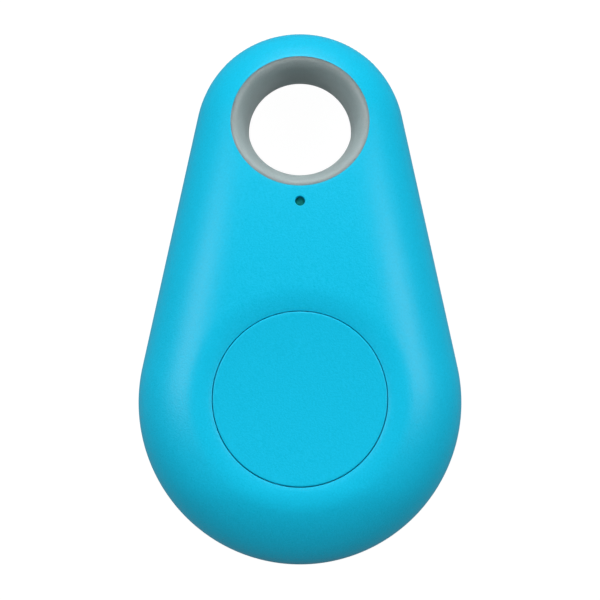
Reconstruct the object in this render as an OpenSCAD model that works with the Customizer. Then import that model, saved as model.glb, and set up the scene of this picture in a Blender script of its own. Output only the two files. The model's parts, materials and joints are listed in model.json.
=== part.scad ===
// Bluetooth tracker tag: a drop-shaped case in two halves, with a round push button,
// an eyelet for a key ring, and a circuit board with a coin cell inside.
// The tag lies on its back: X is the width, +Y points at the eyelet, +Z out of the face.

/* [Case] */
// Length of the case along Y
case_l = 52; // [51:0.5:54]
// Radius of the round button end
lower_r = 15.7; // [15.6:0.05:16.3]
// Radius of the round eyelet end
upper_r = 10.3; // [10.3:0.1:11]
// Thickness of the case at the button
case_t = 11; // [11:0.1:11.4]
// How much lower the face is at the eyelet end
face_drop = 2.2; // [1.5:0.1:2.4]
// Place along Y where the face starts to fall
taper_y = -2; // [-2:0.5:2]
// How much lower the face is at the button end
chin_drop = 1.4; // [1:0.1:1.5]
// Place along Y where the face starts to fall to the button end
chin_y = -18.5; // [-19:0.1:-18.4]
// Height of the joint line between the two halves
split_z = 4.75; // [4.75:0.05:4.9]
// Wall of both halves
wall_t = 1.2; // [1.1:0.05:1.25]
// Width of the front edge's rounding at the button end
front_round = 8; // [7.6:0.1:8.2]
// Width of the front edge's rounding at the eyelet end
neck_round = 7; // [6.6:0.1:7.2]
// Width of the back edge's rounding
back_round = 4.4; // [4:0.1:4.6]

/* [Button] */
// Place of the button along Y
button_y = -10.1; // [-10.3:0.1:-9.9]
// Radius of the button
button_r = 8.1; // [7.9:0.05:8.15]
// Gap around the button
button_gap = 0.12; // [0.1:0.01:0.2]
// Radius at which the face starts to round down to the button
recess_r = 10.5; // [10.3:0.1:10.9]
// Drop of the face at the gap around the button
recess_drop = 0.35; // [0.2:0.05:0.4]
// Depth of the hollow in the button's face
hollow_depth = 0.3; // [0.2:0.05:0.35]

/* [Eyelet] */
// Place of the eyelet along Y
eyelet_y = 16.55; // [16.4:0.05:16.7]
// Radius of the straight part of the eyelet
eyelet_bore_r = 5.1; // [4.8:0.05:5.2]
// Length of the straight part of the eyelet
eyelet_land_l = 2.4; // [2.2:0.1:2.8]
// Outer radius of the eyelet at the front
eyelet_front_r = 6.5; // [6.45:0.05:6.6]
// How far the eyelet's front end is set back towards the button
eyelet_set_back = 0.25; // [0.2:0.05:0.3]
// Outer radius of the eyelet at the back
eyelet_rear_r = 6.45; // [6.4:0.05:6.5]
// Width of the eyelet's lip at each end
eyelet_lip = 0.3; // [0.25:0.05:0.35]

/* [Sound and light hole] */
// Place of the small hole along Y
pinhole_y = 8.4; // [8.3:0.05:8.6]
// Radius of the small hole
pinhole_r = 0.46; // [0.4:0.02:0.5]

/* [Coin cell] */
// Radius of the coin cell
cell_r = 10; // [10:0.05:10.1]
// Height of the coin cell
cell_h = 3.2; // [3.1:0.05:3.2]
// Height of the coin cell's underside above the ground
cell_z = 1.6; // [1.6:0.02:1.64]

/* [Board] */
// Thickness of the circuit board
board_t = 0.8; // [0.8:0.05:0.9]
// Height of the circuit board's underside above the ground
board_z = 5; // [5:0.01:5.05]
// Gap between the outline of the case and the edge of the board
board_inset = 2.15; // [2.15:0.05:2.3]
// Distance of the upper screws from the middle
screw_x = 8.2; // [8.1:0.1:8.4]

/* [Hidden] */
$fn = 64;

eps = 0.01;
far = 40;
lower_y = lower_r - case_l / 2;
upper_y = case_l / 2 - upper_r;
centre_gap = upper_y - lower_y;
board_top = board_z + board_t;
cell_top = cell_z + cell_h;
ceiling_z = case_t - wall_t;

// Steps of the outline's arcs, of its straight sides and of the edge rounding
upper_steps = 16;
lower_steps = 26;
side_steps = 6;
round_steps = 8;

// Height of the front face at a place along Y
function face_z(y) = case_t
    - face_drop * pow(max(0, (y - taper_y) / (case_l / 2 - taper_y)), 2)
    - chin_drop * pow(max(0, (chin_y - y) / (chin_y + case_l / 2)), 1.5);

// Outline of the case: two arcs and their common tangents, from the right-hand side
// over the eyelet end and back
function ring(r_low, r_up) =
    let (slope = asin((r_low - r_up) / centre_gap),
         left_up = [-r_up * cos(slope), upper_y + r_up * sin(slope)],
         left_low = [-r_low * cos(slope), lower_y + r_low * sin(slope)],
         right_low = [-left_low.x, left_low.y],
         right_up = [-left_up.x, left_up.y])
    concat(
        [for (i = [0 : upper_steps]) let (a = slope + (180 - 2 * slope) * i / upper_steps)
            [r_up * cos(a), upper_y + r_up * sin(a)]],
        [for (i = [1 : side_steps - 1]) left_up + (left_low - left_up) * i / side_steps],
        [for (i = [0 : lower_steps]) let (a = 180 - slope + (180 + 2 * slope) * i / lower_steps)
            [r_low * cos(a), lower_y + r_low * sin(a)]],
        [for (i = [1 : side_steps - 1]) right_low + (right_up - right_low) * i / side_steps]);

// Outline moved inwards by a distance
function inset_ring(d) = ring(lower_r - d, upper_r - d);

// Ring on the front half's surface, a depth under its skin: 0 at the joint line, 90 at the face
function front_ring(a, depth) =
    let (turn = 1 - cos(a))
    [for (p = ring(lower_r - depth - (front_round - depth) * turn,
                   upper_r - depth - (neck_round - depth) * turn))
        [p.x, p.y, split_z + (face_z(p.y) - depth - split_z) * sin(a)]];

// The same on the back half: 0 at the joint line, 90 at the flat back
function rear_ring(a, depth) =
    [for (p = inset_ring(depth + (back_round - depth) * (1 - cos(a))))
        [p.x, p.y, split_z - (split_z - depth) * sin(a)]];

function rounding(from, to) = [for (i = [0 : round_steps]) from + (to - from) * i / round_steps];

// Closed solid through a list of rings, closed by strips across the first and the last
module skin(rings) {
    n = len(rings[0]);
    last = len(rings) - 1;
    top = upper_steps / 2;
    function id(r, i) = r * n + (i + n) % n;
    function strip(r, j) = [id(r, top - j - 1), id(r, top + j + 1), id(r, top + j), id(r, top - j)];
    function turned(f) = [f[3], f[2], f[1], f[0]];
    function corners(f) = [for (i = [0 : 3]) if (f[i] != f[(i + 1) % 4]) f[i]];
    first_cap = [for (j = [0 : n / 2 - 1]) corners(strip(0, j))];
    last_cap = [for (j = [0 : n / 2 - 1]) corners(turned(strip(last, j)))];
    side = [for (r = [0 : last - 1], i = [0 : n - 1], half = [0, 1])
        half == 0
            ? [id(r, i), id(r, i + 1), id(r + 1, i + 1)]
            : [id(r, i), id(r + 1, i + 1), id(r + 1, i)]];
    polyhedron(points = [for (r = rings, p = r) p], faces = concat(first_cap, side, last_cap));
}

// Slab with the case's outline moved inwards
module slab(inset, z0, z1) {
    translate([0, 0, z0]) linear_extrude(z1 - z0) polygon(inset_ring(inset));
}

module rod(x, y, r, z0, z1) {
    translate([x, y, z0]) cylinder(r = r, h = z1 - z0);
}

module tube(x, y, r_out, r_in, z0, z1) {
    difference() {
        rod(x, y, r_out, z0, z1);
        rod(x, y, r_in, z0 - eps, z1 + eps);
    }
}

// Box centred in X and Y, standing on z0
module block(x, y, size, z0) {
    translate([x - size.x / 2, y - size.y / 2, z0]) cube(size);
}

// ---- Case ----

// The collars around the eyelet, the lip and the screw towers
eyelet_front_y = eyelet_y - eyelet_set_back;
collar_t = 0.85;
hole_gap = 0.15;
lip_gap = 0.2;
lip_t = 0.55;
lip_h = 0.6;
lip_root = 1.6;
tower_r = 1.5;
bury = 0.3;
pilot_r = 0.7;
pilot_end = 8.2;
screw_y = 4.2;
low_screw_y = -21.9;
SCREWS = [[-screw_x, screw_y], [screw_x, screw_y], [0, low_screw_y]];
pry_slot = [4, 1.2, 0.5];

module rear_cover() {
    lip_out = wall_t + lip_gap;
    hole_r = eyelet_rear_r + hole_gap;
    color("deepskyblue") difference() {
        union() {
            skin(concat([for (a = rounding(90, 0)) rear_ring(a, wall_t)],
                        [for (a = rounding(0, 90)) rear_ring(a, 0)]));
            difference() {
                union() {
                    slab(wall_t - lip_gap, split_z - lip_root, split_z);
                    slab(lip_out, split_z - lip_root, split_z + lip_h);
                }
                slab(lip_out + lip_t, split_z - lip_root - eps, split_z + lip_h + eps);
            }
            rod(0, eyelet_y, hole_r + collar_t, wall_t - bury, split_z - hole_gap);
        }
        rod(0, eyelet_y, hole_r, -eps, far);
        block(0, case_l / 2, pry_slot, split_z - pry_slot.z);
    }
}

// Face around the button, rounding down to the gap, and the button's own hollow face
curve_steps = 6;
rim_z = case_t - recess_drop;
function recess_curve(r_in) =
    [for (i = [0 : curve_steps]) let (t = 1 - i / curve_steps)
        [recess_r + (r_in - recess_r) * t, case_t - recess_drop * t * t]];
function button_curve(r_out) =
    [for (i = [0 : curve_steps]) let (t = i / curve_steps)
        [r_out * t, rim_z - hollow_depth * (1 - t * t)]];

guide_r = 9.25;
guide_t = 0.6;
guide_h = 1.6;

module front_shell() {
    hole_r = button_r + button_gap;
    color("deepskyblue") difference() {
        union() {
            skin(concat([for (a = rounding(90, 0)) front_ring(a, 0)],
                        [for (a = rounding(0, 90)) front_ring(a, wall_t)]));
            intersection() {
                union() {
                    for (s = SCREWS) rod(s.x, s.y, tower_r, board_top, far);
                    tube(0, button_y, guide_r + guide_t, guide_r, ceiling_z - guide_h, far);
                    rod(0, eyelet_front_y, eyelet_front_r + collar_t,
                        split_z + lip_h + 2 * hole_gap, far);
                }
                skin([for (a = rounding(90, 0)) front_ring(a, wall_t / 2)]);
            }
        }
        rod(0, button_y, hole_r, split_z, far);
        translate([0, button_y, 0]) rotate_extrude()
            polygon(concat([[0, rim_z]], recess_curve(hole_r), [[recess_r, far], [0, far]]));
        rod(0, eyelet_front_y, eyelet_front_r + eps, 0, far);
        rod(0, pinhole_y, pinhole_r, split_z, far);
        rod(0, pinhole_y, led_r + led_gap, split_z, led_top + led_gap);
        for (s = SCREWS) rod(s.x, s.y, pilot_r, board_top - eps, pilot_end);
    }
}

// ---- Eyelet ----

flare_steps = 7;

// Quarter of an ellipse from the straight bore out to the lip
function flare(z_land, z_lip, r_lip) =
    [for (i = [0 : flare_steps]) let (a = 90 * i / flare_steps)
        [eyelet_bore_r + (r_lip - eyelet_bore_r) * (1 - cos(a)),
         z_land + (z_lip - z_land) * sin(a)]];

module eyelet_sleeve() {
    land_low = split_z - eyelet_land_l / 2;
    land_high = split_z + eyelet_land_l / 2;
    step_z = split_z + lip_h;
    front_lip_r = eyelet_front_r - eyelet_set_back - eyelet_lip;
    color("lightgray") difference() {
        intersection() {
            union() {
                rod(0, eyelet_y, eyelet_rear_r, -1, step_z);
                rod(0, eyelet_front_y, eyelet_front_r, step_z - eps, case_t);
            }
            skin(concat([for (a = rounding(90, 0)) front_ring(a, 0)],
                        [for (a = rounding(0, 90)) if (a > 0) rear_ring(a, 0)]));
        }
        translate([0, eyelet_y, 0]) rotate_extrude() polygon(concat(
            [[0, far], [front_lip_r, far]],
            [for (i = [flare_steps : -1 : 0]) flare(land_high, 9.6, front_lip_r)[i]],
            flare(land_low, 0.3, eyelet_rear_r - eyelet_lip),
            [[eyelet_rear_r - eyelet_lip, -1], [0, -1]]));
    }
}

// ---- Inner frame, board and screws ----

frame_z = 2.4;
frame_inset = 2.7;
frame_end_y = 8.8;
well_gap = 0.3;
head_z = 2.8;
head_h = 0.8;
head_r = 1.15;
shank_r = 0.68;
shank_gap = 0.12;
clip_w = 5;
clip_t = 0.2;
clip_y = lower_y + cell_r + 0.12;
pocket = [12, 5.2, 1.4];

module below(y_end) {
    translate([-far / 2, y_end - 2 * far, -far / 2]) cube([far, 2 * far, far]);
}

module inner_frame() {
    color("white") difference() {
        intersection() {
            slab(frame_inset, frame_z, board_z);
            below(frame_end_y);
        }
        rod(0, lower_y, cell_r + well_gap, 0, far);
        block(0, clip_y, [clip_w + 0.6, 4, far], 0);
        block(0, 5, pocket, frame_z - eps);
        for (s = SCREWS) {
            rod(s.x, s.y, head_r + shank_gap, 0, head_z + head_h);
            rod(s.x, s.y, shank_r + shank_gap, 0, far);
        }
    }
}

module circuit_board() {
    color("darkgreen") difference() {
        intersection() {
            slab(board_inset, board_z, board_top);
            below(10.2);
        }
        rod(0, eyelet_y, 7.1, 0, far);
        for (s = SCREWS) rod(s.x, s.y, shank_r + shank_gap, 0, far);
    }
}

module frame_screws() {
    color("silver") for (s = SCREWS) difference() {
        union() {
            rod(s.x, s.y, head_r, head_z, head_z + head_h);
            rod(s.x, s.y, shank_r, head_z, pilot_end - 0.3);
        }
        block(s.x, s.y, [1.3, 0.3, 0.4], head_z - eps);
        block(s.x, s.y, [0.3, 1.3, 0.4], head_z - eps);
    }
}

// ---- Button ----

flange_r = 8.95;
flange_t = 0.6;
flange_gap = 0.3;
boss_r = 1.5;
boss_z = 7.85;
cap_hollow_r = 7.2;
cap_hollow_z = 9.55;

module button_cap() {
    flange_top = ceiling_z - flange_gap;
    flange_low = flange_top - flange_t;
    color("deepskyblue") translate([0, button_y, 0]) rotate_extrude() polygon(concat(
        [[0, boss_z], [boss_r, boss_z], [boss_r, cap_hollow_z], [cap_hollow_r, cap_hollow_z],
         [cap_hollow_r, flange_low], [flange_r, flange_low], [flange_r, flange_top],
         [button_r, flange_top]],
        [for (i = [curve_steps : -1 : 0]) button_curve(button_r)[i]]));
}

// ---- Tactile switch ----

switch_w = 4.5;
switch_body_h = 1.3;
switch_well_r = 1.75;
switch_floor = 0.4;
switch_lid_t = 0.15;
plunger_r = 0.95;
plunger_rim_r = 1.5;
plunger_gap = 0.05;
dome_r = 1.65;
dome_t = 0.08;
dome_h = 0.3;
switch_top = board_top + switch_body_h;

module switch_base() {
    color("dimgray") difference() {
        block(0, button_y, [switch_w, switch_w, switch_body_h], board_top);
        rod(0, button_y, switch_well_r, board_top + switch_floor, far);
    }
}

module switch_terminals() {
    leg = [0.9, 0.7, 0.2];
    color("silver") for (x = [-1, 1], y = [-1, 1])
        block(x * (switch_w + leg.x) / 2, button_y + y * 1.5, leg, board_top);
}

module switch_dome() {
    z0 = board_top + switch_floor;
    color("gold") translate([0, button_y, z0]) rotate_extrude() polygon([
        [0, dome_h - dome_t], [dome_r * 0.6, (dome_h - dome_t) * 0.7], [dome_r, 0],
        [dome_r, dome_t], [dome_r * 0.6, dome_h * 0.7 + dome_t / 3], [0, dome_h]]);
}

module switch_cover() {
    color("silver") difference() {
        block(0, button_y, [switch_w, switch_w, switch_lid_t], switch_top);
        rod(0, button_y, plunger_r + 0.1, 0, far);
    }
}

module switch_plunger() {
    low = board_top + switch_floor + dome_h + plunger_gap;
    rim_top = switch_top - plunger_gap;
    color("black") union() {
        rod(0, button_y, plunger_rim_r, low, rim_top);
        rod(0, button_y, plunger_r, low, boss_z - plunger_gap);
    }
}

// ---- Buzzer ----

buzzer_y = 3;
buzzer_w = 9;
buzzer_h = 1.7;
buzzer_r = 3.95;
buzzer_floor = 0.4;
buzzer_ledge_r = 3.5;
buzzer_plate_z = board_top + 0.9;
buzzer_plate_t = 0.12;

module buzzer_housing() {
    color("dimgray") difference() {
        block(0, buzzer_y, [buzzer_w, buzzer_w, buzzer_h], board_top);
        rod(0, buzzer_y, buzzer_r, buzzer_plate_z, far);
        rod(0, buzzer_y, buzzer_ledge_r, board_top + buzzer_floor, far);
    }
}

module buzzer_plate() {
    color("goldenrod")
        rod(0, buzzer_y, buzzer_r - 0.05, buzzer_plate_z, buzzer_plate_z + buzzer_plate_t);
}

module buzzer_ceramic() {
    z0 = buzzer_plate_z + buzzer_plate_t;
    color("ivory") rod(0, buzzer_y, 2.9, z0, z0 + 0.12);
}

module buzzer_lid() {
    z0 = board_top + buzzer_h;
    color("black") difference() {
        block(0, buzzer_y, [buzzer_w, buzzer_w, 0.35], z0);
        rod(-2.2, buzzer_y, 0.6, 0, far);
    }
}

// ---- Small parts on the board ----

CAPACITORS = [[-3.2, -5.6], [-4.9, -5.6], [-10.4, -13.4], [-10.4, -11.8], [-6.6, -17.2],
              [-4.9, -17.2], [4.6, -13.4], [4.6, -15]];
RESISTORS = [[6.4, -6.4], [6.4, -7.9], [6.4, -9.4], [8.4, -6.4], [8.4, -7.9], [3.4, 8.6]];

module bluetooth_chip() {
    color("black") block(-6.6, -13.4, [5, 5, 0.85], board_top);
}

module main_crystal() {
    color("silver") block(-7.6, -8, [3.2, 2.5, 0.7], board_top);
}

module clock_crystal() {
    color("silver") block(8.3, -12.4, [1.5, 3.2, 0.75], board_top);
}

module chip_antenna() {
    color("white") block(0, -17.6, [7, 2, 1.1], board_top);
}

module capacitors() {
    color("tan") for (c = CAPACITORS) block(c.x, c.y, [1, 0.5, 0.5], board_top);
}

module resistors() {
    color("black") for (c = RESISTORS) block(c.x, c.y, [1, 0.5, 0.35], board_top);
}

// Green resin with a domed top, just under the small hole in the face
led_r = 0.8;
led_top = 9.95;
led_gap = 0.12;

module status_led() {
    color("green") translate([0, pinhole_y, board_top]) rotate_extrude() {
        square([led_r, led_top - board_top - led_r]);
        translate([0, led_top - board_top - led_r]) intersection() {
            circle(led_r);
            square(led_r);
        }
    }
}

// ---- Battery and its contacts ----

module battery_foam_pad() {
    color("black") rod(0, lower_y, 4, wall_t, cell_z - 0.05);
}

module battery_positive_clip() {
    color("silver") union() {
        translate([-clip_w / 2, clip_y, frame_z]) cube([clip_w, clip_t, board_z - frame_z]);
        translate([-clip_w / 2, clip_y, board_z - clip_t]) cube([clip_w, 1.6, clip_t]);
    }
}

module battery_negative_leaf() {
    leaf_t = board_z - cell_top - 0.03;
    color("silver") block(0, lower_y, [8, 3, leaf_t], board_z - leaf_t);
}

can_t = 0.3;
crimp_z = cell_top - 0.35;
seal_t = 0.7;
cell_gap = 0.02;

module coin_cell_can() {
    inner_r = cell_r - can_t;
    color("silver") translate([0, lower_y, 0]) rotate_extrude() polygon([
        [0, cell_z], [inner_r, cell_z], [cell_r, cell_z + can_t], [cell_r, crimp_z - can_t],
        [inner_r, crimp_z], [inner_r - 0.4, crimp_z], [inner_r - 0.4, crimp_z - can_t],
        [inner_r, crimp_z - can_t], [inner_r, cell_z + can_t], [0, cell_z + can_t]]);
}

module coin_cell_gasket() {
    inner_r = cell_r - can_t - cell_gap;
    low = cell_z + can_t + cell_gap;
    high = crimp_z - can_t - cell_gap;
    color("dimgray") translate([0, lower_y, 0]) rotate_extrude() polygon([
        [inner_r - seal_t, low], [inner_r, low], [inner_r, high], [inner_r - 0.4, high],
        [inner_r - 0.4, crimp_z], [inner_r - seal_t, crimp_z]]);
}

lid_t = 0.25;
lid_step = 0.6;
lid_skirt = 0.9;
lid_r = cell_r - can_t - 2 * cell_gap - seal_t;

module coin_cell_cap() {
    skirt_z = crimp_z - lid_skirt;
    color("silver") translate([0, lower_y, 0]) rotate_extrude() polygon([
        [0, cell_top - lid_t], [lid_r - lid_step - lid_t / 2, cell_top - lid_t],
        [lid_r - lid_t, crimp_z - lid_t / 2], [lid_r - lid_t, skirt_z], [lid_r, skirt_z],
        [lid_r, crimp_z], [lid_r - lid_step, cell_top], [0, cell_top]]);
}

module coin_cell_core() {
    core_r = lid_r - lid_t - cell_gap;
    low = cell_z + can_t + cell_gap;
    high = cell_top - lid_t - cell_gap;
    color("black") translate([0, lower_y, 0]) rotate_extrude() polygon([
        [0, low], [core_r, low], [core_r, crimp_z - lid_t],
        [core_r - lid_step, high], [0, high]]);
}

rear_cover();
battery_foam_pad();
front_shell();
eyelet_sleeve();
inner_frame();
circuit_board();
frame_screws();
button_cap();
switch_base();
switch_terminals();
switch_dome();
switch_cover();
switch_plunger();
buzzer_housing();
buzzer_plate();
buzzer_ceramic();
buzzer_lid();
bluetooth_chip();
main_crystal();
clock_crystal();
chip_antenna();
capacitors();
resistors();
status_led();
battery_positive_clip();
battery_negative_leaf();
coin_cell_can();
coin_cell_gasket();
coin_cell_cap();
coin_cell_core();
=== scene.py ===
# Bluetooth tracker tag: the smooth case, button and eyelet, finishes for every part, studio.
import json
import math

import bmesh
import bpy
import numpy as np
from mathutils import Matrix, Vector
from mathutils.geometry import delaunay_2d_cdt


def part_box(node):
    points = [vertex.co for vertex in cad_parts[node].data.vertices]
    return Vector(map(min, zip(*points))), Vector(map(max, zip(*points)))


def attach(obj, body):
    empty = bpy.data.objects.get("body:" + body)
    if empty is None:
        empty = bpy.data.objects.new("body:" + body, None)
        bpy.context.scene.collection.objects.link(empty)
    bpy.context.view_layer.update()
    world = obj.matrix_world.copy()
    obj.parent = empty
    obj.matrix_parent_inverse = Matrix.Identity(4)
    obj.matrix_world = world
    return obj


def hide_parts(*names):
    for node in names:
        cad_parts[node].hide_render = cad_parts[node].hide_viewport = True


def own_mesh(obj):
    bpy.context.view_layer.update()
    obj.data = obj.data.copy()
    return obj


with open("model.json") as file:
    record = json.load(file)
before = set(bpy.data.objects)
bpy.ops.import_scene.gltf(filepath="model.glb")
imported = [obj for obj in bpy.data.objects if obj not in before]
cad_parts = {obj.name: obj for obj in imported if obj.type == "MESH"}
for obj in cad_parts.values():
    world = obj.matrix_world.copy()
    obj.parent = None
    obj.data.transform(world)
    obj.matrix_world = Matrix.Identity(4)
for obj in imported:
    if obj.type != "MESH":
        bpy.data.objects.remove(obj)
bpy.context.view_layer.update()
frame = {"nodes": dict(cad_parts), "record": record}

MM = 0.001
MOUNTS = {m["name"]: m for m in frame["record"]["mounts"]}


def box_mm(node):
    lo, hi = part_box(node)
    return lo / MM, hi / MM


# ---- Sizes, in millimetres ----

shell_lo, shell_hi = box_mm("front_shell")
cap_lo, cap_hi = box_mm("button_cap")
led_top = box_mm("status_led")[1].z

case_l = shell_hi.y - shell_lo.y
case_t = shell_hi.z
split_z = shell_lo.z
lower_r = 15.7
upper_r = 10.3
lower_y = lower_r - case_l / 2
upper_y = case_l / 2 - upper_r
wall_t = 1.2

# The face falls towards both ends, and its edge is rounded over these widths
face_drop = 2.2
taper_y = -2.0
chin_drop = 1.4
chin_y = -18.5
front_round = 8.0
neck_round = 7.0
back_round = 4.6

# Joint line between the halves: each edge is rounded a little, with a fine groove between
seam_round = 0.1
seam_gap = 0.03
pry_half_w = 2.0
pry_depth = 0.45

# The button, and the dish around it. Its rim stands a little above the dish's edge
button_y = (cap_lo.y + cap_hi.y) / 2
button_r = 8.11
button_hole_r = 8.18
button_rim_z = case_t - 0.36
button_edge = 0.12
button_flange_low = cap_lo.z + 1.05
button_flange_top = cap_lo.z + 1.65
button_skirt_r = 7.2
button_underside_z = 9.55
button_stem_r = 1.5
recess_r = 10.5
recess_drop = 0.42
hollow_depth = 0.3

# Rounding of the edges of the button's hole and of both eyelet holes
lip_round = 0.03

bore = MOUNTS["key_ring_hole"]
bore_y = bore["pos_m"][1] / MM
bore_r = bore["dims"]["r_mm"]
bore_l = bore["dims"]["length_mm"]
bore_z = bore["pos_m"][2] / MM
sleeve_step_z = 5.35
sleeve_lip = 0.12

# Where the sleeve comes out of the face it is a little oval, and set back from the eyelet's end
front_lip_y = 16.36
front_lip_rx = 6.6
front_lip_ry = 6.46
rear_lip_r = 6.45

# Outer corner of the sleeve's lips, as steps outwards and away from the face
LIP_CORNER = [(0.02, 0.01), (0.03, 0.04)]

# The small hole, and the pocket behind it that the LED sits in
pinhole_y = 8.4
pinhole_r = 0.46
pinhole_round = 0.08
led_pocket_r = 1.05
led_pocket_edge = 0.1
led_clearance = 0.12

# Inside the front half: screw towers, the tube that guides the button, the eyelet's collar
screw_places = [(-8.2, 4.2), (8.2, 4.2), (0, -21.9)]
tower_r = 1.5
pilot_r = 0.7
tower_low = box_mm("circuit_board")[1].z
guide_r = 9.25
guide_wall = 0.6
guide_low = 8.2
collar_low = 5.65
collar_wall = 0.8
collar_gap = 0.02

# Inside the rear cover: the locating lip, by depth inside the outline, and the eyelet's collar
rib_in, rib_out, rib_root = 1.95, 1.4, 1.1
rib_low_in, rib_low_root = 2.75, 2.9
rib_step_z = 4.55
rib_top = split_z + 0.6
rear_collar_r = 7.45
rear_collar_low = 0.95
rear_collar_top = split_z - 0.15

# How closely the meshes follow the shape
plan_spacing = 0.42
hole_spacing = 0.36
hole_reach = 1.4

centre_gap = upper_y - lower_y
side_sin = (lower_r - upper_r) / centre_gap
side_cos = math.sqrt(1 - side_sin ** 2)


# ---- The case's outline and surfaces ----

def outline_depth(x, y):
    """How far inside the outline a point is, and its share of the way along the side."""
    px, py = np.abs(x), y - lower_y
    along = (py * side_cos - px * side_sin) / (centre_gap * side_cos)
    low = lower_r - np.hypot(px, py)
    high = upper_r - np.hypot(px, py - centre_gap)
    side = lower_r - (px * side_cos + py * side_sin)
    depth = np.where(along < 0, low, np.where(along > 1, high, side))
    return depth, np.clip(along, 0, 1)


def inward(x, y, step=0.01):
    """Unit vector pointing away from the nearest edge of the outline."""
    gx = outline_depth(x + step, y)[0] - outline_depth(x - step, y)[0]
    gy = outline_depth(x, y + step)[0] - outline_depth(x, y - step)[0]
    size = np.maximum(np.hypot(gx, gy), 1e-9)
    return gx / size, gy / size


def outline_ring(depth, spacing):
    """Points along the outline moved inwards, over the eyelet end first."""
    slope = math.asin(side_sin)
    arcs = ((upper_r - depth, upper_y, slope, math.pi - slope),
            (lower_r - depth, lower_y, math.pi - slope, 2 * math.pi + slope))
    ring = []
    for r, y, start, end in arcs:
        n = max(8, round(r * (end - start) / spacing))
        ring += [(r * math.cos(a), y + r * math.sin(a)) for a in np.linspace(start, end, n + 1)]
        x0, y0 = ring[-1]
        side_l = centre_gap * side_cos
        run = Vector((-side_sin, math.copysign(side_cos, x0)))
        m = max(4, round(side_l / spacing))
        ring += [(x0 + run.x * side_l * i / m, y0 + run.y * side_l * i / m) for i in range(1, m)]
    return ring


class Hole:
    """Round or oval hole on the centre line, with its edge rounded by a fillet. The mesh has
    rings of points around it up to a reach."""

    def __init__(self, y, rx, ry, fillet, reach, spacing):
        self.y, self.rx, self.ry = y, rx, ry
        self.fillet, self.reach, self.spacing = fillet, reach, spacing

    def off_edge(self, x, y):
        """Distance outside the hole's edge, negative inside it."""
        share = np.hypot(x / self.rx, (y - self.y) / self.ry)
        return (share - 1) * (self.rx + self.ry) / 2

    def loop(self, offset=0.0, spacing=None):
        rx, ry = self.rx + offset, self.ry + offset
        n = max(24, round(math.pi * (rx + ry) / (spacing or self.spacing)))
        return [(rx * math.cos(a), self.y + ry * math.sin(a))
                for a in np.linspace(0, 2 * math.pi, n, endpoint=False)]

    def drop(self, x, y):
        """Drop of a surface over the hole's rounded edge."""
        t = np.clip(self.fillet - self.off_edge(x, y), 0, self.fillet)
        return self.fillet - np.sqrt(np.maximum(self.fillet ** 2 - t ** 2, 0))


BUTTON_HOLE = Hole(button_y, button_hole_r, button_hole_r, lip_round,
                   recess_r - button_hole_r + 0.4, hole_spacing)
FRONT_EYELET = Hole(front_lip_y, front_lip_rx, front_lip_ry, lip_round, hole_reach, hole_spacing)
PINHOLE = Hole(pinhole_y, pinhole_r, pinhole_r, pinhole_round, 0.7, 0.1)
REAR_EYELET = Hole(bore_y, rear_lip_r, rear_lip_r, lip_round, hole_reach, hole_spacing)


def face_z(y):
    up = np.maximum(0, (y - taper_y) / (case_l / 2 - taper_y))
    down = np.maximum(0, (chin_y - y) / (chin_y + case_l / 2))
    return case_t - face_drop * up ** 2 - chin_drop * down ** 1.5


def rise(depth, width):
    """Share of the height reached at a depth inside the outline: a quarter of an ellipse."""
    return np.sqrt(1 - (1 - np.clip(depth / width, 0, 1)) ** 2)


def front_surface(x, y):
    depth, share = outline_depth(x, y)
    base = split_z + seam_gap + seam_round
    z = base + (face_z(y) - base) * rise(depth, front_round + (neck_round - front_round) * share)
    to_button = np.hypot(x, y - button_y)
    near = np.clip((recess_r - to_button) / (recess_r - button_hole_r), 0, 1)
    z = z - recess_drop * near ** 1.6
    return z - BUTTON_HOLE.drop(x, y) - FRONT_EYELET.drop(x, y) - PINHOLE.drop(x, y)


def front_ceiling(x, y):
    depth, share = outline_depth(x, y)
    width = front_round + (neck_round - front_round) * share - wall_t
    base = split_z + seam_gap
    z = base + (face_z(y) - wall_t - base) * rise(depth - wall_t, width)
    over_led = np.clip((led_pocket_r - np.hypot(x, y - pinhole_y)) / led_pocket_edge, 0, 1)
    return z + (led_top + led_clearance - z) * over_led


def pry_notch(x, y):
    """Depth of the notch that a fingernail opens the case at, in the rear cover's rim."""
    near = np.clip(1.4 - np.abs(x) / pry_half_w, 0, 0.4) / 0.4
    return np.where(y > upper_y, pry_depth * near * near * (3 - 2 * near), 0)


def rear_surface(x, y):
    depth, _ = outline_depth(x, y)
    base = split_z - seam_gap - seam_round - pry_notch(x, y)
    return base * (1 - rise(depth, back_round)) + REAR_EYELET.drop(x, y)


def rear_floor(x, y):
    depth, _ = outline_depth(x, y)
    base = split_z - seam_gap - pry_notch(x, y)
    return base - (base - wall_t) * rise(depth - wall_t, back_round - wall_t)


# ---- Mesh helpers ----

class Build:
    """Collects corners and faces in millimetres, and makes one object of them."""

    def __init__(self):
        self.corners = []
        self.faces = []

    def add(self, corners, faces):
        start = len(self.corners)
        self.corners += [tuple(c) for c in corners]
        self.faces += [tuple(start + i for i in f) for f in faces]
        return start

    def make(self, name, body, material, nodes=(), sharp=math.radians(35)):
        mesh = bpy.data.meshes.new(name)
        mesh.from_pydata([(x * MM, y * MM, z * MM) for x, y, z in self.corners], [], self.faces)
        mesh.validate()
        bm = bmesh.new()
        bm.from_mesh(mesh)
        bmesh.ops.recalc_face_normals(bm, faces=bm.faces)
        bm.to_mesh(mesh)
        bm.free()
        mesh.shade_smooth()
        mesh.set_sharp_from_angle(angle=sharp)
        obj = bpy.data.objects.new(name, mesh)
        bpy.context.scene.collection.objects.link(obj)
        mesh.materials.append(material)
        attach(obj, body)
        if nodes:
            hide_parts(*nodes)
        return obj


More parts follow.
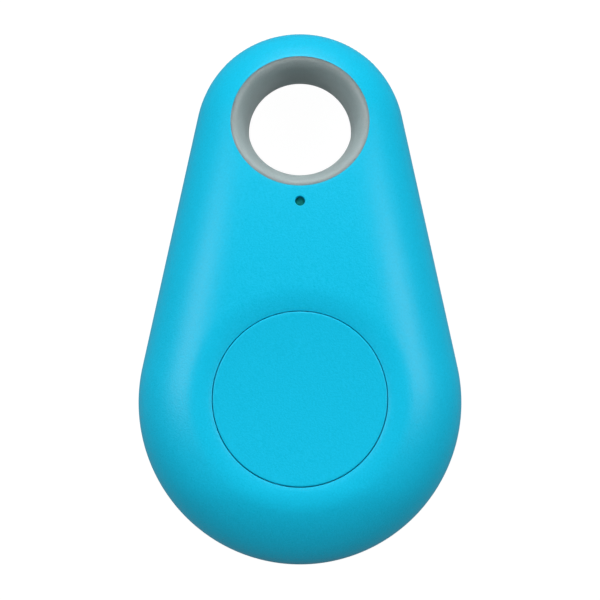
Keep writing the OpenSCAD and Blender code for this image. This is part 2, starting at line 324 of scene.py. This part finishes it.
def bridge(loop_a, loop_b):
    n = len(loop_a)
    return [(loop_a[i], loop_a[(i + 1) % n], loop_b[(i + 1) % n], loop_b[i]) for i in range(n)]


def far_from(points, others, gap):
    """The points that keep a gap from all the others."""
    if not points or not len(others):
        return points
    p, q = np.array(points), np.array(others)
    clear = np.ones(len(p), bool)
    for start in range(0, len(p), 500):
        part = p[start:start + 500]
        distance = np.hypot(part[:, None, 0] - q[None, :, 0], part[:, None, 1] - q[None, :, 1])
        clear[start:start + 500] = distance.min(1) > gap
    return [points[i] for i in np.flatnonzero(clear)]


def ring_offsets(fillet, reach):
    """Distances from a hole's edge at which the mesh has a ring of points."""
    offsets = [fillet * (1 - math.cos(math.radians(a))) for a in (0, 25, 45, 65, 90)]
    step = fillet
    while offsets[-1] + step < reach:
        offsets.append(offsets[-1] + step)
        step = min(step * 1.25, 0.4)
    return offsets


def plan_mesh(holes, edge_width, spacing):
    """Flat triangles between the outline and the holes, with rings of points along both.
    Returns points, triangles and loops."""
    loops = [outline_ring(0, spacing)] + [hole.loop() for hole in holes]
    points = [p for loop in loops for p in loop]
    hard = list(points)

    def inside(p):
        x, y = np.array(p)[:, 0], np.array(p)[:, 1]
        ok = outline_depth(x, y)[0] > 0.04
        for hole in holes:
            ok &= hole.off_edge(x, y) > 0
        return [q for q, good in zip(p, ok) if good]

    for hole in holes:
        s = hole.spacing
        for offset in ring_offsets(hole.fillet, hole.reach)[1:]:
            ring = inside(hole.loop(offset, s * (1 + offset / hole.rx)))
            points += far_from(ring, hard, 0.25 * s if offset <= hole.fillet else 0.7 * s)
        hard = list(points)
    taken = list(points)
    for a in np.linspace(0, 90, 15)[1:]:
        depth = edge_width * (1 - math.cos(math.radians(a)))
        ring = inside(outline_ring(depth, spacing))
        points += far_from(ring, taken, 0.55 * spacing if depth > 0.5 else 0.1)
    taken = list(points)
    rows = np.arange(-case_l / 2, case_l / 2, spacing * 1.4 * 0.87)
    grid = [(x + (k % 2) * spacing * 0.7, y)
            for k, y in enumerate(rows)
            for x in np.arange(-lower_r, lower_r, spacing * 1.4)]
    points += far_from(inside(grid), taken, 0.8 * spacing)

    edges, start, indices = [], 0, []
    for loop in loops:
        ids = list(range(start, start + len(loop)))
        edges += [(ids[i], ids[(i + 1) % len(ids)]) for i in range(len(ids))]
        indices.append(ids)
        start += len(loop)
    verts, _, tris, _, _, _ = delaunay_2d_cdt([Vector(p) for p in points], edges, [], 0, 1e-7)
    verts = np.array([tuple(v) for v in verts])
    tris = np.array([t for t in tris])
    centre = verts[tris].mean(1)
    side_a, side_b = verts[tris[:, 1]] - verts[tris[:, 0]], verts[tris[:, 2]] - verts[tris[:, 0]]
    area = np.abs(side_a[:, 0] * side_b[:, 1] - side_a[:, 1] * side_b[:, 0]) / 2
    keep = (outline_depth(centre[:, 0], centre[:, 1])[0] > 0) & (area > 1e-5)
    for ids in indices[1:]:
        keep &= ~np.isin(tris, ids).all(1)
    return verts, tris[keep], indices


def shell(build, holes, edge_width, outer, inner, rim_z):
    """A wall between an outer and an inner surface over the outline, closed at the rim."""
    flat, tris, loops = plan_mesh(holes, edge_width, plan_spacing)
    x, y = flat[:, 0], flat[:, 1]
    depth, _ = outline_depth(x, y)
    wall_turn = 4.5
    t = np.clip(depth / wall_turn, 0, 1)
    shift = wall_t * (1 - t * t * (3 - 2 * t))
    gx, gy = inward(x, y)
    for hole in holes:
        shift = shift * np.clip(hole.off_edge(x, y), 0, 1)
    rim = depth < 1e-6
    shift = np.where(rim, wall_t, shift)
    xi, yi = x + gx * shift, y + gy * shift
    a = build.add(np.stack([x, y, outer(x, y)], 1), tris)
    b = build.add(np.stack([xi, yi, inner(xi, yi)], 1), tris[:, ::-1])
    edge = loops[0]
    xr, yr = x[edge] + gx[edge] * seam_round, y[edge] + gy[edge] * seam_round
    c = build.add(np.stack([xr, yr, rim_z(xr, yr)], 1), [])
    outer_edge, inner_edge = [a + i for i in edge], [b + i for i in edge]
    groove = [c + i for i in range(len(edge))]
    build.faces += bridge(outer_edge, groove) + bridge(groove, inner_edge)
    for loop in loops[1:]:
        build.faces += bridge([a + i for i in loop], [b + i for i in loop])


def rounded(profile, radius, steps=4):
    """The profile with its inner corners rounded; radius is one value or one per corner."""
    out = []
    n = len(profile)
    radii = radius if isinstance(radius, (list, tuple)) else [radius] * n
    for i, point in enumerate(profile):
        p = Vector(point)
        before, after = Vector(profile[i - 1]), Vector(profile[(i + 1) % n])
        r = min(radii[i], (before - p).length * 0.45, (after - p).length * 0.45)
        if r < 1e-4:
            out.append(tuple(p))
            continue
        a, b = p + (before - p).normalized() * r, p + (after - p).normalized() * r
        for k in range(steps + 1):
            t = k / steps
            out.append(tuple(a * (1 - t) ** 2 + p * 2 * t * (1 - t) + b * t ** 2))
    return out


def revolve(build, profile, y, steps):
    """Turns a closed (radius, height) profile about an upright axis on the centre line.
    Points on the axis are poles."""
    rows = []
    for r, z in profile:
        if r < 1e-6:
            rows.append([build.add([(0, y, z)], [])] * steps)
            continue
        start = build.add([(r * math.cos(2 * math.pi * k / steps),
                            y + r * math.sin(2 * math.pi * k / steps), z)
                           for k in range(steps)], [])
        rows.append([start + k for k in range(steps)])
    for i, row in enumerate(rows):
        after = rows[(i + 1) % len(rows)]
        if row[0] == row[1] and after[0] == after[1]:
            continue
        for face in bridge(row, after):
            build.faces.append(tuple(dict.fromkeys(face)))


def tube_to_ceiling(build, x, y, r_out, r_in, low, steps=48):
    """Upright tube from a height up into the front half's wall."""
    rows = []
    for a in np.linspace(0, 2 * math.pi, steps, endpoint=False):
        c, s = math.cos(a), math.sin(a)
        top_in, top_out = (float(front_ceiling(x + r * c, y + r * s)) + 0.3 * wall_t
                           for r in (r_in, r_out))
        profile = rounded([(r_in, low), (r_out, low), (r_out, top_out), (r_in, top_in)],
                          [0.1, 0.1, 0, 0], 3)
        start = build.add([(x + r * c, y + r * s, z) for r, z in profile], [])
        rows.append(list(range(start, start + len(profile))))
    for k in range(steps):
        build.faces += bridge(rows[k], rows[(k + 1) % steps])


def sweep_outline(build, profile, spacing=0.5):
    """Runs a closed (depth inside the outline, height) profile all around the case."""
    x, y = np.array(outline_ring(0, spacing)).T
    gx, gy = inward(x, y)
    loops = []
    for depth, z in profile:
        start = build.add(np.stack([x + gx * depth, y + gy * depth, np.full_like(x, z)], 1), [])
        loops.append(list(range(start, start + len(x))))
    for k in range(len(loops)):
        build.faces += bridge(loops[k], loops[(k + 1) % len(loops)])


# ---- Materials ----

class Nodes:
    """Short ways to write a material's nodes."""

    def __init__(self, name):
        self.material = bpy.data.materials.new(name)
        self.material.use_nodes = True
        self.tree = self.material.node_tree
        self.shader = self.tree.nodes["Principled BSDF"]
        self.place = self.new("ShaderNodeTexCoord").outputs["Object"]

    def new(self, kind, **settings):
        node = self.tree.nodes.new(kind)
        for key, value in settings.items():
            setattr(node, key, value)
        return node

    def link(self, a, b):
        self.tree.links.new(a, b)

    def noise(self, size_mm, detail=3.0, rough=0.55, stretch=(1, 1, 1)):
        mapping = self.new("ShaderNodeMapping")
        mapping.inputs["Scale"].default_value = [s / (size_mm * MM) for s in stretch]
        self.link(self.place, mapping.inputs["Vector"])
        noise = self.new("ShaderNodeTexNoise")
        noise.inputs["Scale"].default_value = 1.0
        noise.inputs["Detail"].default_value = detail
        noise.inputs["Roughness"].default_value = rough
        self.link(mapping.outputs["Vector"], noise.inputs["Vector"])
        return noise.outputs["Fac"]

    def ramp(self, value, stops):
        ramp = self.new("ShaderNodeValToRGB")
        elements = ramp.color_ramp.elements
        while len(elements) < len(stops):
            elements.new(0.5)
        for element, (where, colour) in zip(elements, stops):
            element.position = where
            element.color = (*colour, 1)
        self.link(value, ramp.inputs["Fac"])
        return ramp.outputs["Color"]

    def span(self, value, low, high):
        """The value, taken from 0.3 to 0.7, spread between low and high."""
        node = self.new("ShaderNodeMapRange")
        node.inputs["From Min"].default_value = 0.3
        node.inputs["From Max"].default_value = 0.7
        node.inputs["To Min"].default_value = low
        node.inputs["To Max"].default_value = high
        self.link(value, node.inputs["Value"])
        return node.outputs["Result"]

    def bump(self, value, height_mm, strength=1.0, after=None):
        node = self.new("ShaderNodeBump")
        node.inputs["Distance"].default_value = height_mm * MM
        node.inputs["Strength"].default_value = strength
        self.link(value, node.inputs["Height"])
        if after is not None:
            self.link(after, node.inputs["Normal"])
        return node.outputs["Normal"]


def shade(colour, factor):
    return tuple(min(1.0, c * factor) for c in colour)


def moulded_plastic(name, colour, rough=0.33, grain_mm=0.17, grain_height=0.022,
                    painted_glint=0.0, glow_mm=0.0):
    """Moulded plastic: fine spark-eroded grain in height, gloss and shade, and faint waviness.
    The glint setting whitens the grain's high spots: a painted glint, as if they caught light.
    Glow is how far light spreads under the skin."""
    n = Nodes(name)
    variation = 0.045
    grain = n.noise(grain_mm, 3, 0.65)
    # Painted glint: the ramp's high stop is whitened, as if the grain's high spots caught light
    high = tuple(c + painted_glint for c in shade(colour, 1 + variation))
    n.link(n.ramp(grain, [(0.35, shade(colour, 1 - variation)), (0.65, high)]),
           n.shader.inputs["Base Color"])
    n.link(n.span(grain, rough - 0.06, rough + 0.08), n.shader.inputs["Roughness"])
    wave = n.bump(n.noise(3.5, 2), 0.004, 0.5)
    n.link(n.bump(grain, grain_height, 1.0, wave), n.shader.inputs["Normal"])
    n.shader.inputs["Specular IOR Level"].default_value = 0.2
    if glow_mm:
        n.shader.inputs["Subsurface Weight"].default_value = 1.0
        n.shader.inputs["Subsurface Radius"].default_value = (1, 1, 1)
        n.shader.inputs["Subsurface Scale"].default_value = glow_mm * MM
    return n.material


def metal(name, colour, rough=0.28, brushed=(1, 1, 1), size_mm=0.4):
    """Plated or spring metal: brushed or tumbled marks, with a little staining."""
    n = Nodes(name)
    marks = n.noise(size_mm, 5, 0.6, brushed)
    stain = n.noise(2.2, 3)
    n.link(n.ramp(stain, [(0.3, shade(colour, 0.88)), (0.7, shade(colour, 1.05))]),
           n.shader.inputs["Base Color"])
    n.link(n.span(marks, rough - 0.08, rough + 0.12), n.shader.inputs["Roughness"])
    n.link(n.bump(marks, 0.003), n.shader.inputs["Normal"])
    n.shader.inputs["Metallic"].default_value = 1.0
    return n.material


def ceramic(name, colour, rough=0.5):
    """Fired ceramic or pressed powder: fine speckle."""
    n = Nodes(name)
    speck = n.noise(0.12, 4, 0.7)
    n.link(n.ramp(speck, [(0.35, shade(colour, 0.8)), (0.6, shade(colour, 1.1))]),
           n.shader.inputs["Base Color"])
    n.link(n.span(speck, rough - 0.08, rough + 0.1), n.shader.inputs["Roughness"])
    n.link(n.bump(speck, 0.006), n.shader.inputs["Normal"])
    return n.material


def board_green(name):
    """Solder mask over copper: the tracks show as paler, slightly raised runs."""
    n = Nodes(name)
    mapping = n.new("ShaderNodeMapping")
    mapping.inputs["Scale"].default_value = [1 / (1.1 * MM)] * 3
    n.link(n.place, mapping.inputs["Vector"])
    bricks = n.new("ShaderNodeTexBrick")
    bricks.inputs["Scale"].default_value = 1.0
    bricks.inputs["Mortar Size"].default_value = 0.09
    bricks.inputs["Mortar Smooth"].default_value = 0.3
    bricks.inputs["Brick Width"].default_value = 2.6
    bricks.inputs["Row Height"].default_value = 0.55
    n.link(mapping.outputs["Vector"], bricks.inputs["Vector"])
    mask = n.new("ShaderNodeMix", data_type="RGBA")
    mask.inputs["A"].default_value = (0.004, 0.12, 0.075, 1)
    mask.inputs["B"].default_value = (0.02, 0.24, 0.13, 1)
    n.link(bricks.outputs["Fac"], mask.inputs["Factor"])
    n.link(mask.outputs["Result"], n.shader.inputs["Base Color"])
    n.link(n.span(n.noise(0.5), 0.25, 0.4), n.shader.inputs["Roughness"])
    n.link(n.bump(bricks.outputs["Fac"], 0.03), n.shader.inputs["Normal"])
    return n.material


def foam_black(name):
    """Closed-cell foam: small dark pores."""
    n = Nodes(name)
    cells = n.new("ShaderNodeTexVoronoi")
    cells.inputs["Scale"].default_value = 1 / (0.22 * MM)
    n.link(n.place, cells.inputs["Vector"])
    n.link(n.ramp(cells.outputs["Distance"], [(0.0, (0.012, 0.012, 0.013)),
                                              (0.6, (0.05, 0.05, 0.052))]),
           n.shader.inputs["Base Color"])
    n.shader.inputs["Roughness"].default_value = 0.9
    n.link(n.bump(cells.outputs["Distance"], 0.05), n.shader.inputs["Normal"])
    return n.material


BLUE = (0.0, 0.495, 0.745)
# The case and the button get a faint painted glint on their grain
blue = moulded_plastic("blue_case", BLUE, painted_glint=0.004)
blue_button = moulded_plastic("blue_button", shade(BLUE, 0.98), rough=0.35, painted_glint=0.003)
grey = moulded_plastic("grey_eyelet", (0.33, 0.405, 0.41), rough=0.4, glow_mm=3.5)
FINISHES = {
    "blue_case": blue,
    "blue_button": blue_button,
    "grey_eyelet": grey,
    "white_frame": moulded_plastic("white_frame", (0.72, 0.72, 0.69), rough=0.5),
    "green_board": board_green("green_board"),
    "zinc_screw": metal("zinc_screw", (0.62, 0.62, 0.60), 0.32),
    "black_part": moulded_plastic("black_part", (0.014, 0.014, 0.015), rough=0.45, grain_mm=0.08),
    "dark_part": moulded_plastic("dark_part", (0.03, 0.03, 0.033), rough=0.5, grain_mm=0.08),
    "tinned_metal": metal("tinned_metal", (0.66, 0.66, 0.65), 0.3),
    "spring_steel": metal("spring_steel", (0.6, 0.59, 0.57), 0.25, (1, 12, 1)),
    "brass_plate": metal("brass_plate", (0.75, 0.52, 0.2), 0.3),
    "piezo_ceramic": ceramic("piezo_ceramic", (0.74, 0.72, 0.67)),
    "white_ceramic": ceramic("white_ceramic", (0.75, 0.76, 0.77), 0.4),
    "tan_ceramic": ceramic("tan_ceramic", (0.42, 0.29, 0.17), 0.45),
    "led_resin": moulded_plastic("led_resin", (0.03, 0.6, 0.42), rough=0.2, grain_height=0.0005),
    "foam": foam_black("foam"),
    "cell_steel": metal("cell_steel", (0.66, 0.66, 0.65), 0.26, (14, 1, 1)),
    "cell_seal": moulded_plastic("cell_seal", (0.05, 0.05, 0.055), rough=0.5),
    "cell_mass": ceramic("cell_mass", (0.03, 0.03, 0.033), 0.7),
}


def snap_dome():
    """Domed spring disc under the plunger. The real disc flattens as the button goes down; this
    mesh keeps its domed shape.
    """
    lo, hi = box_mm("switch_dome")
    thick = 0.08
    dome_r = (hi.x - lo.x) / 2
    height = hi.z - lo.z - thick
    shares = np.linspace(0, 1, 14)
    curve = [(dome_r * t, lo.z + height * (1 - t * t) ** 1.4) for t in shares]
    profile = [(r, z + thick) for r, z in curve] + curve[::-1]
    build = Build()
    revolve(build, profile, button_y, 64)
    dome = build.make("snap_dome", "front_case", FINISHES["spring_steel"], ["switch_dome"])
    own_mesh(dome)


def finish_nodes():
    """Gives every CAD node its finish, with its edges broken a little."""
    for part in frame["record"]["subparts"]:
        obj = frame["nodes"][part["node"]]
        obj.data.materials.clear()
        obj.data.materials.append(FINISHES[part["material_slot"]])
        weld = obj.modifiers.new("weld", "WELD")
        weld.merge_threshold = 0.001 * MM
        smallest = min(obj.dimensions)
        bevel = obj.modifiers.new("edges", "BEVEL")
        bevel.width = min(0.06 * MM, smallest * 0.15)
        bevel.segments = 2
        bevel.limit_method = "ANGLE"
        bevel.angle_limit = math.radians(40)


# ---- Pieces ----

def front_shell():
    build = Build()
    shell(build, [BUTTON_HOLE, FRONT_EYELET, PINHOLE], front_round, front_surface, front_ceiling,
          lambda x, y: np.full_like(x, split_z + seam_gap))
    for x, y in screw_places:
        tube_to_ceiling(build, x, y, tower_r, pilot_r, tower_low)
    tube_to_ceiling(build, 0, button_y, guide_r + guide_wall, guide_r, guide_low, 128)
    tube_to_ceiling(build, 0, front_lip_y, front_lip_rx + collar_wall,
                    front_lip_rx + collar_gap, collar_low, 128)
    build.make("front_case", "front_case", blue, ["front_shell"])


def rear_cover():
    build = Build()
    shell(build, [REAR_EYELET], back_round, rear_surface, rear_floor,
          lambda x, y: split_z - seam_gap - pry_notch(x, y))
    rib = [(rib_in, rib_low_in), (rib_in, rib_top), (rib_out, rib_top), (rib_out, rib_step_z),
           (rib_root, rib_step_z), (rib_root, rib_low_root)]
    sweep_outline(build, rounded(rib, [0, 0.1, 0.15, 0.1, 0, 0], 3))
    inner_r = rear_lip_r + collar_gap
    collar = [(inner_r, rear_collar_low), (inner_r, rear_collar_top),
              (rear_collar_r, rear_collar_top), (rear_collar_r, rear_collar_low)]
    revolve(build, rounded(collar, [0, 0.1, 0.1, 0], 3), bore_y, 128)
    build.make("rear_case", "rear_case", blue, ["rear_cover"])


def button():
    """Hollow-faced cap with a flange that keeps it in, and a stem that presses the switch."""
    face = [(r, button_rim_z - hollow_depth * (1 - (r / button_r) ** 2))
            for r in np.linspace(0, button_r - button_edge, 40)]
    corner = face[-1][1]
    face += [(button_r - button_edge * (1 - math.sin(a)), corner - button_edge * (1 - math.cos(a)))
             for a in np.linspace(0, math.pi / 2, 6)[1:]]
    side = [(button_r, button_flange_top), (cap_hi.x, button_flange_top),
            (cap_hi.x, button_flange_low)]
    under = [(button_skirt_r, button_flange_low), (button_skirt_r, button_underside_z),
             (button_stem_r, button_underside_z), (button_stem_r, cap_lo.z), (0, cap_lo.z)]
    profile = face + side + under
    build = Build()
    revolve(build, profile, button_y, 160)
    build.make("push_button", "button", blue_button, ["button_cap"])


def flare(land, lip, way, heights, turn):
    """Point on the sleeve's inner curve, from its straight part at turn 0 out to its lip."""
    land_z, lip_z = heights
    edge = lip - sleeve_lip * way
    where = land + (edge - land) * (1 - math.cos(turn))
    return (*where, land_z + (lip_z - land_z) * math.sin(turn))


def eyelet():
    """Flared sleeve. Its lips follow the surfaces of the two halves and cut into them slightly."""
    steps = 176
    land_low, land_high = bore_z - bore_l / 2, bore_z + bore_l / 2
    turns = np.linspace(0, 1.54, 18)
    build = Build()
    rows = []
    for a in np.linspace(0, 2 * math.pi, steps, endpoint=False):
        way = np.array([math.cos(a), math.sin(a)])
        land = np.array([0, bore_y]) + bore_r * way
        front = np.array([0, front_lip_y]) + np.array([front_lip_rx, front_lip_ry]) * way
        rear = np.array([0, bore_y]) + rear_lip_r * way
        top = float(front_surface(*(front + 0.05 * way)))
        low = float(rear_surface(*(rear + 0.05 * way)))
        row = [flare(land, front, way, (land_high, top), t) for t in turns]
        row += [(*(front + out * way), top - step) for out, step in LIP_CORNER]
        row += [(*front, sleeve_step_z), (*rear, sleeve_step_z)]
        row += [(*(rear + out * way), low + step) for out, step in reversed(LIP_CORNER)]
        row += [flare(land, rear, way, (land_low, low), t) for t in turns[::-1]]
        start = build.add(row, [])
        rows.append(list(range(start, start + len(row))))
    for k in range(steps):
        build.faces += bridge(rows[k], rows[(k + 1) % steps])
    build.make("eyelet_ring", "front_case", grey, ["eyelet_sleeve"], math.radians(60))


# ---- Camera, floor and light ----

# The camera stands a little towards the button end, and looks near the middle of the case
camera_lean = math.radians(4.6)
camera_distance = 0.121
camera_lens = 74.1
target_y = -0.46
floor_half = 6
floor_z = -0.02
light_distance = 0.5


def studio():
    scene = bpy.context.scene
    scene.view_settings.view_transform = "Standard"
    target = Vector((0, target_y * MM, split_z * MM))
    back = Vector((0, -math.sin(camera_lean), math.cos(camera_lean)))
    camera = bpy.data.objects.new("camera", bpy.data.cameras.new("camera"))
    scene.collection.objects.link(camera)
    camera.location = target + back * camera_distance
    camera.rotation_mode = "QUATERNION"
    camera.rotation_quaternion = (-back).to_track_quat("-Z", "Y")
    camera.data.sensor_width = 36
    camera.data.lens = camera_lens
    camera.data.clip_start = 0.01
    camera.data.clip_end = 10
    scene.camera = camera

    mesh = bpy.data.meshes.new("floor")
    s, z = floor_half, floor_z * MM
    mesh.from_pydata([(-s, -s, z), (s, -s, z), (s, s, z), (-s, s, z)], [], [(0, 1, 2, 3)])
    floor = bpy.data.objects.new("floor", mesh)
    scene.collection.objects.link(floor)
    # Paper that glows white by itself, shows almost no shadow and throws no light on the tag
    floor.visible_diffuse = False
    floor.visible_glossy = False
    paper = bpy.data.materials.new("paper")
    paper.use_nodes = True
    shader = paper.node_tree.nodes["Principled BSDF"]
    shader.inputs["Base Color"].default_value = (0.05, 0.05, 0.05, 1)
    shader.inputs["Roughness"].default_value = 0.9
    shader.inputs["Emission Color"].default_value = (1, 1, 1, 1)
    shader.inputs["Emission Strength"].default_value = 0.98
    # From below the paper can be seen through, so that the back of the tag shows
    tree = paper.node_tree
    mix = tree.nodes.new("ShaderNodeMixShader")
    clear = tree.nodes.new("ShaderNodeBsdfTransparent")
    side = tree.nodes.new("ShaderNodeNewGeometry")
    tree.links.new(side.outputs["Backfacing"], mix.inputs["Fac"])
    tree.links.new(shader.outputs["BSDF"], mix.inputs[1])
    tree.links.new(clear.outputs["BSDF"], mix.inputs[2])
    tree.links.new(mix.outputs["Shader"], tree.nodes["Material Output"].inputs["Surface"])
    mesh.materials.append(paper)

    world = bpy.data.worlds.new("studio")
    scene.world = world
    world.use_nodes = True
    world.node_tree.nodes["Background"].inputs["Color"].default_value = (1, 1, 1, 1)
    world.node_tree.nodes["Background"].inputs["Strength"].default_value = 0.242

    def softbox(name, from_top, turn, size, power):
        """Square light; from_top and turn are angles in degrees, size is in metres."""
        light = bpy.data.lights.new(name, "AREA")
        light.shape = "SQUARE"
        light.size = size
        light.energy = power
        obj = bpy.data.objects.new(name, light)
        scene.collection.objects.link(obj)
        tilt, turn = math.radians(from_top), math.radians(turn)
        toward = Vector((math.sin(tilt) * math.cos(turn), math.sin(tilt) * math.sin(turn),
                         math.cos(tilt)))
        obj.location = toward * light_distance
        obj.rotation_mode = "QUATERNION"
        obj.rotation_quaternion = (-toward).to_track_quat("-Z", "Y")

    softbox("high_light", 49, 90, 0.25, 0.98)
    softbox("low_light", 66, 90, 0.25, 0.5)
    softbox("right_light", 46, 13, 0.18, 0.92)
    softbox("left_light", 46, 167, 0.18, 0.92)


studio()
finish_nodes()
rear_cover()
front_shell()
eyelet()
button()
snap_dome()
